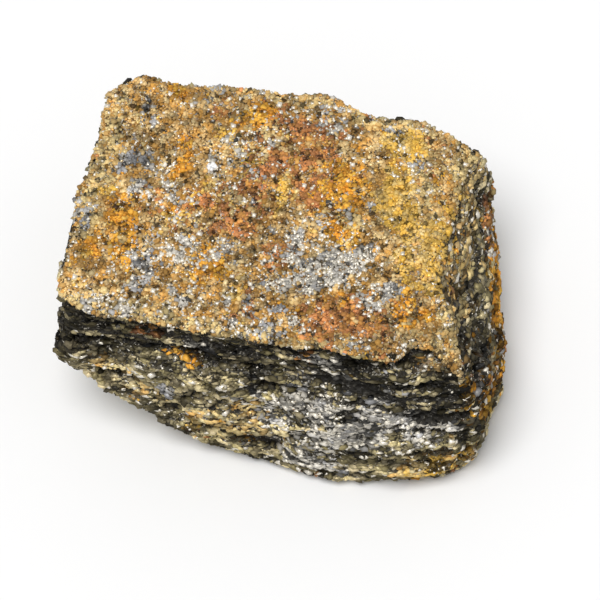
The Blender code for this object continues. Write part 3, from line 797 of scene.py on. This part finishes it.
def grain_tints(rng, points, normal, kept, colours):
    """Each grain's colour, which is its stain's times its value, and which grains are the bright ones."""
    count = len(points)
    blots = stack_points(points[:, 0], points[:, 1], kept["level"])
    colour = {name: np.array(getattr(colours, name)) for name in ("tan", "body", "light", *STAINS)}
    on_top = (kept["top"] > rng.random(count))[:, None]
    tint = grain_stains(rng, blots, on_top, kept, colour)
    value, darkened = grain_values(rng, blots, on_top, normal, kept)
    tint = tint * value[:, None]
    coloured = np.maximum(np.maximum(kept["rust"], kept["orange"]), kept["gold"])
    bright_share = np.where(on_top[:, 0], 0.06 - 0.04 * coloured + 0.5 * kept["silver"],
                            0.06 + 0.26 * kept["silver"])
    bright = rng.random(count) < bright_share * (1.0 - 0.8 * darkened)
    tint = np.where(bright[:, None], colour["light"] * (0.8 + 0.35 * rng.random((count, 1))), tint)
    # The white grain, painted white, which also stands in for a glint
    tint = np.where(kept["white"][:, None] > 0.5, WHITE, tint)
    tint = tint * (1.0 + 0.12 * (1.0 - on_top))
    return tint / np.maximum(tint.max(axis=1, keepdims=True) / LIGHTEST, 1.0), bright


def grain_mesh(name, sample, sheet, labels, rng, colours):
    """A mesh of grains at the sampled places, with each grain's colour and gloss on all its corners.

    A sample's columns are place, normal and the labelled values. Open cracks and the floor's edge stay free,
    and so does what faces down, except on the underside's own sheet. A grain that would pass the box is left
    out, with its points.
    """
    sample = sample[(sample[:, 2] > FLOOR_GAP) & ((sample[:, 5] > -0.5) | (sheet == "bottom"))]
    crack_at, top_at = 6 + labels.index("crack"), 6 + labels.index("top")
    sample = sample[(sample[:, crack_at] < OPEN_CRACK) | (sample[:, top_at] > 0.5)]
    place, facing = sample[:, :3], unit_rows(sample[:, 3:6])
    kept = dict(zip(labels, sample[:, 6:].T))
    leafy_share = 0.5 + 0.5 * kept["band"] + 0.4 * np.abs(facing[:, 0]) + 0.7 * noise(place, 4.0, 112)
    leafy = (1.0 - kept["top"]) * np.clip(leafy_share, 0.0, 1.0) > rng.random(len(place))
    tint, bright = grain_tints(rng, place, facing, kept, colours)
    corners, faces, places = grain_field(rng, place, facing, kept["top"], leafy)
    limit = np.abs([list(corner) for corner in cad_box]).max(axis=0) / MM + BOX_GAP
    inside = (np.abs(corners) < limit).all(axis=1).reshape(-1, 8).all(axis=1)
    used, faces = np.unique(faces[np.repeat(inside, len(BOX_FACES))], return_inverse=True)
    corners, places = corners[used], places[used]
    corners[:, 2] = np.maximum(corners[:, 2], 0.0)
    gloss = np.where(bright, 0.9, rng.random(len(place)) ** 2).repeat(8)[used]
    mesh = array_mesh(name, corners, faces.reshape(-1, 3), places[faces.ravel()], {"gloss": gloss})
    tints = np.column_stack([tint, np.ones(len(tint))]).repeat(8, axis=0)[used].astype(np.float32)
    mesh.attributes.new("tint", "FLOAT_COLOR", "POINT").data.foreach_set("color", tints.ravel())
    return mesh


def thin_out(piece, triangles):
    """Merges the piece's flattest places until this many triangles are left, and keeps the result."""
    piece.data.calc_loop_triangles()
    thinner = piece.modifiers.new("Thin out", "DECIMATE")
    thinner.ratio = triangles / len(piece.data.loop_triangles)
    bpy.context.view_layer.update()
    mesh = bpy.data.meshes.new_from_object(piece.evaluated_get(bpy.context.evaluated_depsgraph_get()))
    piece.modifiers.clear()
    full, piece.data = piece.data, mesh
    mesh.name = full.name
    bpy.data.meshes.remove(full)


COLOUR = {"subtype": "COLOR", "min": 0.0, "max": 1.0}


class BlockShape(bpy.types.PropertyGroup):
    """Sizes of the block's surface."""

    relief: bpy.props.FloatProperty(
        name="Relief",
        description="How strongly the leaves, cracks and grains stand out",
        default=1.0,
        min=0.0,
        max=2.0,
    )
    grain: bpy.props.FloatProperty(
        name="Grain",
        description="How wide one grain of the surface's mosaic is",
        default=0.00036,
        unit="LENGTH",
        precision=5,
    )


class BlockColours(bpy.types.PropertyGroup):
    """Colours of the block's grains."""

    tan: bpy.props.FloatVectorProperty(
        name="Tan", description="Most grains of the top face", default=(0.49, 0.255, 0.055), **COLOUR
    )
    body: bpy.props.FloatVectorProperty(
        name="Grey-green", description="Most grains of the sides", default=(0.31, 0.26, 0.125), **COLOUR
    )
    gold: bpy.props.FloatVectorProperty(
        name="Gold", description="Yellow stain", default=(0.82, 0.50, 0.08), **COLOUR
    )
    rust: bpy.props.FloatVectorProperty(
        name="Rust", description="Red-brown stain", default=(0.50, 0.21, 0.08), **COLOUR
    )
    orange: bpy.props.FloatVectorProperty(
        name="Orange", description="Orange-brown stain", default=(0.62, 0.27, 0.03), **COLOUR
    )
    silver: bpy.props.FloatVectorProperty(
        name="Silver", description="Bright, silvery grains", default=(0.60, 0.56, 0.48), **COLOUR
    )
    blue: bpy.props.FloatVectorProperty(
        name="Blue-grey", description="Blue-grey grains", default=(0.32, 0.32, 0.33), **COLOUR
    )
    pale: bpy.props.FloatVectorProperty(
        name="Pale", description="Cream and olive grains", default=(0.70, 0.55, 0.26), **COLOUR
    )
    dark: bpy.props.FloatVectorProperty(
        name="Dark", description="Dark grains of the mosaic", default=(0.060, 0.048, 0.027), **COLOUR
    )
    light: bpy.props.FloatVectorProperty(
        name="Light", description="The lightest grains", default=(0.88, 0.82, 0.70), **COLOUR
    )


class StageLight(bpy.types.PropertyGroup):
    """Floor and light."""

    floor_colour: bpy.props.FloatVectorProperty(
        name="Floor", description="Colour of the floor", default=(0.86, 0.86, 0.86), **COLOUR
    )
    floor_half: bpy.props.FloatProperty(
        name="Floor half side", description="Half the floor's side", default=3.0, unit="LENGTH"
    )


class Graph:
    """Short ways to add and join the nodes of one material."""

    def __init__(self, material):
        """Starts on the nodes of this material."""
        material.use_nodes = True
        self.tree = material.node_tree
        self.surface = self.tree.nodes["Principled BSDF"]

    def give(self, socket, value):
        """Joins another socket to this one, or sets its value."""
        if isinstance(value, bpy.types.NodeSocket):
            self.tree.links.new(value, socket)
        else:
            socket.default_value = value

    def add(self, kind, inputs=(), **settings):
        """Adds a node and gives its inputs in order, where None leaves one as it is."""
        node = self.tree.nodes.new("ShaderNode" + kind)
        for name, value in settings.items():
            setattr(node, name, value)
        for place, value in enumerate(inputs):
            if value is not None:
                self.give(node.inputs[place], value)
        return node

    def math(self, operation, *values, clamp=False):
        """The outcome of this operation on numbers."""
        return self.add("Math", values, operation=operation, use_clamp=clamp).outputs[0]

    def between(self, value, low, high):
        """The number, kept between these two."""
        return self.math("MINIMUM", self.math("MAXIMUM", value, low), high)

    def vector(self, operation, *values):
        """The outcome of this operation on vectors."""
        return self.add("VectorMath", values, operation=operation).outputs[0]

    def scale(self, value, factor):
        """The vector times this factor."""
        node = self.add("VectorMath", (value,), operation="SCALE")
        node.inputs["Scale"].default_value = factor
        return node.outputs[0]

    def attribute(self, name):
        """The number that the mesh holds under this name."""
        return self.add("Attribute", attribute_name=name).outputs["Fac"]

    def parts(self, colour):
        """The three numbers of a colour."""
        return self.add("SeparateColor", (colour,)).outputs[:3]

    def mix(self, share, first, second, blend="MIX"):
        """The two colours, blended with this share of the second."""
        node = self.add("Mix", data_type="RGBA", blend_type=blend)
        for place, value in ((0, share), (6, first), (7, second)):
            self.give(node.inputs[place], value)
        return node.outputs[2]

    def shaded(self, colour, value):
        """The colour times this number."""
        grey = self.add("CombineColor", (value, value, value)).outputs[0]
        return self.mix(1.0, colour, grey, "MULTIPLY")

    def steps(self, value, colours):
        """A ramp of flat colours, as (where each starts, colour)."""
        node = self.add("ValToRGB", (value,))
        ramp = node.color_ramp
        ramp.interpolation = "CONSTANT"
        ramp.elements[1].position = 1.0
        for place, colour in colours[1:]:
            ramp.elements.new(place)
        for element, (place, colour) in zip(ramp.elements, colours):
            element.position, element.color = place, (*colour, 1.0)
        ramp.elements[len(colours)].color = (*colours[-1][1], 1.0)
        return node.outputs[0]

    def finish(self, **sockets):
        """Gives the surface's inputs, whose names have _ for a space."""
        for name, value in sockets.items():
            self.give(self.surface.inputs[name.replace("_", " ")], value)


# The stains of the mosaic between the grains: two colours, and the shares of dark and light grains
MOSAIC_LOOKS = {
    "rust": ("rust", "tan", 0.08, 0.06),
    "orange": ("orange", "gold", 0.10, 0.02),
    "pale": ("pale", "tan", 0.12, 0.12),
    "silver": ("silver", "blue", 0.16, 0.26),
    "blue": ("blue", "silver", 0.20, 0.10),
    "gold": ("gold", "gold", 0.03, 0.03),
}

# The colours of the mosaic's white grain, which also stands in for a painted glint, and of the painted shade
# at the bottom of a crack
MOSAIC_WHITE = (0.95, 0.95, 0.95, 1.0)
CRACK_SHADE_COLOUR = (0.012, 0.010, 0.007, 1.0)


def grain_colours(colours, base, accent, dark_share, light_share):
    """The kinds of grain in one stain, as (where each starts on a scale from 0 to 1, colour)."""
    base, accent = np.array(base), np.array(accent)
    dark, light = np.array(colours.dark), np.array(colours.light)
    rest = 1.0 - dark_share - light_share
    kinds = ((0.0, 0.45 * base + 0.1 * dark), (0.16, 0.72 * base), (0.40, base), (0.62, accent),
             (0.80, 0.7 * base + 0.3 * light))
    between = [(dark_share + rest * start, colour) for start, colour in kinds]
    return [(0.0, dark), *between, (1.0 - light_share, light)]


def mosaic_colour(graph, layered, kind, jitter, gloss, colours):
    """The mosaic's colours before light and dark.

    A grain takes a stain's colours where a number, made of a blot's noise and the grain's own number, is
    under the stain's share. In the band most grains then take the band's darker colours.
    """

    def kinds(*look):
        """Each grain's colour in this look, by its own number."""
        return graph.steps(kind, grain_colours(colours, *look))

    side = kinds(colours.body, colours.pale, 0.24, 0.15)
    colour = graph.mix(graph.attribute("top"), side, kinds(colours.tan, colours.pale, 0.14, 0.07))
    blots = []
    for shift in (0.0, 40.0):
        moved = graph.vector("ADD", graph.scale(layered, BLOT_SCALE), (shift, shift, shift))
        blots += graph.parts(graph.add("TexNoise", (moved, None, 1.0, 1.0)).outputs["Color"])
    for number, (name, (first, second, *shares)) in enumerate(MOSAIC_LOOKS.items()):
        pick = graph.math("FRACT", graph.math("ADD", jitter, 0.61 * number))
        blot = graph.math("MULTIPLY_ADD", blots[number], 1.9, -0.63, clamp=True)
        pick = graph.math("ADD", graph.math("MULTIPLY", pick, 0.38), blot)
        chosen = graph.math("LESS_THAN", pick, graph.attribute(name))
        colour = graph.mix(chosen, colour, kinds(getattr(colours, first), getattr(colours, second), *shares))
    in_band = graph.math("LESS_THAN", gloss, graph.math("MULTIPLY", graph.attribute("band"), 0.8))
    leafy = kinds(np.array(colours.dark) * 1.6, np.array(colours.body) * 0.7, 0.35, 0.08)
    return graph.mix(in_band, colour, leafy)


def mosaic_shade(graph, place, jitter):
    """How light the mosaic is: a grain's own value times, on the sides, streaks and painted light and shade
    from the relief, then darkened by painted shade between the grains.
    """
    top = graph.attribute("top")
    own = graph.math("FRACT", graph.math("MULTIPLY", jitter, 7.31))
    own = graph.math("MULTIPLY_ADD", own, 0.6, 0.7)
    flat = graph.vector("MULTIPLY", place, (0.22, 0.22, 1.1))
    streak = graph.add("TexNoise", (flat, None, 1.0, 2.0)).outputs[0]
    streak = graph.math("MULTIPLY_ADD", graph.math("SUBTRACT", streak, 0.5), 4.4, 1.05)
    streak = graph.between(streak, 0.22, 2.1)
    # Painted light and shade from the relief: lighter where the place stands out, darker where it is sunk
    stand = graph.between(graph.math("MULTIPLY_ADD", graph.attribute("stand"), 0.45, 1.0), 0.35, 1.4)
    side = graph.math("MULTIPLY", graph.math("SUBTRACT", 1.0, top), graph.math("MULTIPLY", streak, stand))
    shade = graph.math("MULTIPLY", own, graph.math("ADD", side, top))
    # Painted shade between the loose grains: the mosaic is darkened to 0.18 of its value on the sides and 0.6
    # on the top
    return graph.math("MULTIPLY", shade, graph.math("MULTIPLY_ADD", top, 0.42, 0.18))


def rock_material(shape, colours):
    """Bronzite rock as it shows between the loose grains: a mosaic with stains, flecks and cracks, made dark
    by painted shade between the grains and in the cracks.
    """
    material = bpy.data.materials.new("Bronzite rock")
    graph = Graph(material)
    x, y = graph.add("SeparateXYZ", (graph.add("TexCoord").outputs["Object"],)).outputs[:2]
    level = graph.math("MULTIPLY", graph.attribute("level"), MM)
    layered = graph.add("CombineXYZ", (x, y, level)).outputs[0]
    place = graph.scale(layered, 1.0 / shape.grain)
    warp = graph.add("TexNoise", (place, None, 0.9, 1.0))
    bend = graph.scale(graph.vector("SUBTRACT", warp.outputs["Color"], (0.5, 0.5, 0.5)), 1.3)
    flat = graph.vector("MULTIPLY", graph.vector("ADD", place, bend), (0.85, 0.85, 1.7))
    cells = graph.add("TexVoronoi", (flat, None, 1.0))
    kind, jitter, gloss = graph.parts(cells.outputs["Color"])
    colour = mosaic_colour(graph, layered, kind, jitter, gloss, colours)
    colour = graph.shaded(colour, mosaic_shade(graph, place, jitter))
    flecks = graph.add("TexVoronoi", (graph.scale(flat, 2.1), None, 1.0))
    fleck = graph.parts(flecks.outputs["Color"])[0]
    dark_fleck = graph.math("MULTIPLY", graph.math("LESS_THAN", fleck, 0.16), 0.75)
    light_fleck = graph.math("MULTIPLY", graph.math("GREATER_THAN", fleck, 0.94), 0.6)
    colour = graph.mix(dark_fleck, colour, (*colours.dark, 1.0))
    colour = graph.mix(light_fleck, colour, (*colours.light, 1.0))
    # The white grain, painted white, which also stands in for a glint
    colour = graph.mix(graph.attribute("white"), colour, MOSAIC_WHITE)
    # Painted shade: the bottoms of cracks and pits are darkened almost to black
    colour = graph.mix(graph.math("MULTIPLY", graph.attribute("crack"), 0.9), colour, CRACK_SHADE_COLOUR)
    lean = graph.scale(graph.vector("SUBTRACT", cells.outputs["Color"], (0.5, 0.5, 0.5)), 0.9)
    normal = graph.vector("ADD", graph.add("NewGeometry").outputs["Normal"], lean)
    shiny = graph.math("GREATER_THAN", gloss, 0.72)
    rough = graph.math("MULTIPLY_ADD", jitter, 0.25, 0.6)
    graph.finish(
        Base_Color=colour,
        Specular_IOR_Level=0.35,
        Roughness=graph.math("SUBTRACT", rough, graph.math("MULTIPLY", shiny, 0.3)),
        Metallic=graph.math("MULTIPLY", shiny, 0.35),
        Normal=graph.vector("NORMALIZE", normal),
    )
    return material


def grain_material():
    """Loose grains: each has its own colour and gloss, with a fine mottling."""
    material = bpy.data.materials.new("Bronzite grains")
    graph = Graph(material)
    place = graph.add("TexCoord").outputs["Object"]
    mottle = graph.add("TexNoise", (place, None, 9000.0, 2.0)).outputs[0]
    mottle = graph.math("MULTIPLY_ADD", mottle, 0.5, 0.75)
    tint = graph.add("Attribute", attribute_name="tint").outputs["Color"]
    gloss = graph.attribute("gloss")
    graph.finish(
        Base_Color=graph.shaded(tint, mottle),
        Specular_IOR_Level=graph.math("MULTIPLY_ADD", gloss, 0.45, 0.12),
        Roughness=graph.math("MULTIPLY_ADD", gloss, -0.4, 0.68),
        Metallic=graph.math("MULTIPLY", gloss, 0.45),
    )
    return material


@functools.lru_cache(maxsize=1)
def block_surface(strength):
    """The block's fine surface: its points, cells and sheets, and what each point is made of."""
    unit, sheets = cube_shell(CELLS)
    quads = np.concatenate([sheet_quads(sheet) for sheet in sheets.values()])
    points, height = coarse_form(unit, quads)
    normal = unit_rows(share_around(point_normals(points, quads), quads, 16))
    relief, crack, level, band = fine_relief(points, height, normal)
    off_floor = np.clip(points[:, 2] / 0.8, 0.0, 1.0)
    off_floor *= np.clip((points[:, 2] - underside(*points[:, :2].T)) / RIM_CALM, 0.1, 1.0)
    top = np.clip(3.0 * normal[:, 2] - 1.2, 0.0, 1.0) * near_top(points)
    attributes = {"crack": crack, "top": top, "band": band * (1.0 - top), "level": level, "stand": relief}
    attributes.update(stain_shares(points, level, normal))
    from_grain = np.hypot(points[:, 0] - WHITE_GRAIN_AND_GLINT[0], points[:, 1] - WHITE_GRAIN_AND_GLINT[1])
    attributes["white"] = top * (from_grain < WHITE_GRAIN_AND_GLINT[2])
    sunk = SUNK * (1.0 - top)
    relief = np.minimum(relief, OUTMOST * np.tanh(relief / OUTMOST))
    points = points + normal * ((strength * relief - sunk) * off_floor)[:, None]
    points[:, 2] = np.maximum(points[:, 2], 0.0)
    points[:, :2] -= BOX_MIDDLE
    return points, quads, sheets, attributes


def add_piece(name, mesh, material):
    """Puts a mesh in the scene as a piece of the block."""
    mesh.materials.append(material)
    piece = bpy.data.objects.new(name, mesh)
    bpy.context.scene.collection.objects.link(piece)
    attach(piece, "root")
    return piece


class BRONZITE_OT_block(bpy.types.Operator):
    """Adds the block: its solid form on a fine grid, with leaves, cracks, grains and stains"""

    bl_idname = "bronzite.block"
    bl_label = "Block"

    def execute(self, context):
        shape = context.scene.bronzite_shape
        points, quads, sheets, attributes = block_surface(shape.relief)
        mesh = surface_mesh("Bronzite block", points, sheets, attributes)
        block = add_piece("Bronzite_block", mesh, rock_material(shape, context.scene.bronzite_colours))
        thin_out(block, TRIANGLES_KEPT)
        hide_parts("bronzite_block")
        return {"FINISHED"}


class BRONZITE_OT_grains(bpy.types.Operator):
    """Adds the grains of the top face and the flakes of the four sides, half sunk in the block"""

    bl_idname = "bronzite.grains"
    bl_label = "Grains"

    def execute(self, context):
        points, quads, sheets, attributes = block_surface(context.scene.bronzite_shape.relief)
        normal = unit_rows(share_around(point_normals(points, quads), quads, 3))
        values = np.column_stack([points, normal, *attributes.values()])
        rng = np.random.default_rng(GRAIN_SEED)
        colours = context.scene.bronzite_colours
        material = grain_material()
        for name, (sheet, counts) in GRAIN_GRIDS.items():
            sample = sheet_samples(sheets[sheet], counts, rng, values)
            mesh = grain_mesh(name.replace("_", " "), sample, sheet, list(attributes), rng, colours)
            add_piece(name, mesh, material)
        return {"FINISHED"}


# The way that the light comes from, how wide it looks in degrees, and its strength
LIGHT_FROM = (-0.10, -0.22, 0.78)
LIGHT_WIDTH = 36.0
LIGHT_STRENGTH = 2.35


def add_light():
    """A broad, soft light from above and a little to the front left, as even as the sky's."""
    data = bpy.data.lights.new("Soft box", "SUN")
    data.angle, data.energy = math.radians(LIGHT_WIDTH), LIGHT_STRENGTH
    lamp = bpy.data.objects.new("Soft box", data)
    lamp.rotation_euler = (-Vector(LIGHT_FROM)).to_track_quat("-Z", "Y").to_euler()
    bpy.context.scene.collection.objects.link(lamp)


# The camera's place and the point that it looks at, in millimetres, the turn in degrees of the line on the
# floor that runs level across the picture, and the lens
CAMERA_PLACE = (78.765, -267.191, 427.442)
CAMERA_AIM = (1.0, -2.0, 10.5)
CAMERA_TURN = 11.0
CAMERA_LENS = 222.0


def add_camera():
    """The picture's camera: it looks down on the block, from a little right of the front."""
    data = bpy.data.cameras.new("Camera")
    data.lens, data.sensor_width = CAMERA_LENS, 36.0
    data.clip_start, data.clip_end = 0.01, 20.0
    camera = bpy.data.objects.new("Camera", data)
    back = (Vector(CAMERA_PLACE) - Vector(CAMERA_AIM)).normalized()
    level = Vector((math.cos(math.radians(CAMERA_TURN)), math.sin(math.radians(CAMERA_TURN)), 0.0))
    right = (level - level.dot(back) * back).normalized()
    turn = Matrix((right, back.cross(right), back)).transposed().to_4x4()
    camera.matrix_world = Matrix.Translation(Vector(CAMERA_PLACE) * MM) @ turn
    bpy.context.scene.collection.objects.link(camera)
    bpy.context.scene.camera = camera


# The sky's two greys, as (how far up from level, up to 1 overhead, how light)
SKY_GREYS = ((0.04, 1.0), (0.3, 0.46))


def add_sky():
    """White all round at the horizon, and half as light overhead."""
    world = bpy.data.worlds.new("White studio")
    bpy.context.scene.world = world
    world.use_nodes = True
    nodes, links = world.node_tree.nodes, world.node_tree.links
    direction = nodes.new("ShaderNodeTexCoord")
    parts = nodes.new("ShaderNodeSeparateXYZ")
    links.new(direction.outputs["Generated"], parts.inputs[0])
    ramp = nodes.new("ShaderNodeValToRGB")
    links.new(parts.outputs["Z"], ramp.inputs[0])
    for element, (place, grey) in zip(ramp.color_ramp.elements, SKY_GREYS):
        element.position, element.color = place, (grey, grey, grey, 1.0)
    links.new(ramp.outputs[0], nodes["Background"].inputs["Color"])


class BRONZITE_OT_stage(bpy.types.Operator):
    """Adds the pale floor, the soft light and the camera"""

    bl_idname = "bronzite.stage"
    bl_label = "Stage"

    def execute(self, context):
        stage = context.scene.bronzite_stage
        half = stage.floor_half
        mesh = bpy.data.meshes.new("Floor")
        corners = [(-half, -half, 0), (half, -half, 0), (half, half, 0), (-half, half, 0)]
        mesh.from_pydata(corners, [], [(0, 1, 2, 3)])
        material = bpy.data.materials.new("White floor")
        material.use_nodes = True
        surface = material.node_tree.nodes["Principled BSDF"]
        surface.inputs["Base Color"].default_value = (*stage.floor_colour, 1.0)
        surface.inputs["Roughness"].default_value = 0.9
        mesh.materials.append(material)
        floor = bpy.data.objects.new("Floor", mesh)
        context.scene.collection.objects.link(floor)
        add_sky()
        add_light()
        context.scene.view_settings.view_transform = "Standard"
        add_camera()
        return {"FINISHED"}


class BRONZITE_PT_panel(bpy.types.Panel):
    """Lists the block's settings and its operators"""

    bl_idname = "BRONZITE_PT_panel"
    bl_label = "Bronzite"
    bl_space_type = "VIEW_3D"
    bl_region_type = "UI"
    bl_category = "Bronzite"

    def draw(self, context):
        scene = context.scene
        for settings in (scene.bronzite_shape, scene.bronzite_colours, scene.bronzite_stage):
            for name in settings.bl_rna.properties.keys():
                if name not in ("rna_type", "name"):
                    self.layout.prop(settings, name)
        for operator in OPERATORS:
            self.layout.operator(operator.bl_idname)


OPERATORS = (BRONZITE_OT_block, BRONZITE_OT_grains, BRONZITE_OT_stage)
CLASSES = (BlockShape, BlockColours, StageLight, *OPERATORS, BRONZITE_PT_panel)


def register():
    """Registers the add-on's classes and its settings on the scene."""
    for each in CLASSES:
        bpy.utils.register_class(each)
    bpy.types.Scene.bronzite_shape = bpy.props.PointerProperty(type=BlockShape)
    bpy.types.Scene.bronzite_colours = bpy.props.PointerProperty(type=BlockColours)
    bpy.types.Scene.bronzite_stage = bpy.props.PointerProperty(type=StageLight)


def unregister():
    """Takes the settings and the classes away again."""
    del bpy.types.Scene.bronzite_stage
    del bpy.types.Scene.bronzite_colours
    del bpy.types.Scene.bronzite_shape
    for each in reversed(CLASSES):
        bpy.utils.unregister_class(each)


def main():
    """Builds the block, its grains and the stage."""
    register()
    bpy.ops.bronzite.block()
    bpy.ops.bronzite.grains()
    bpy.ops.bronzite.stage()


if __name__ == "__main__":
    main()
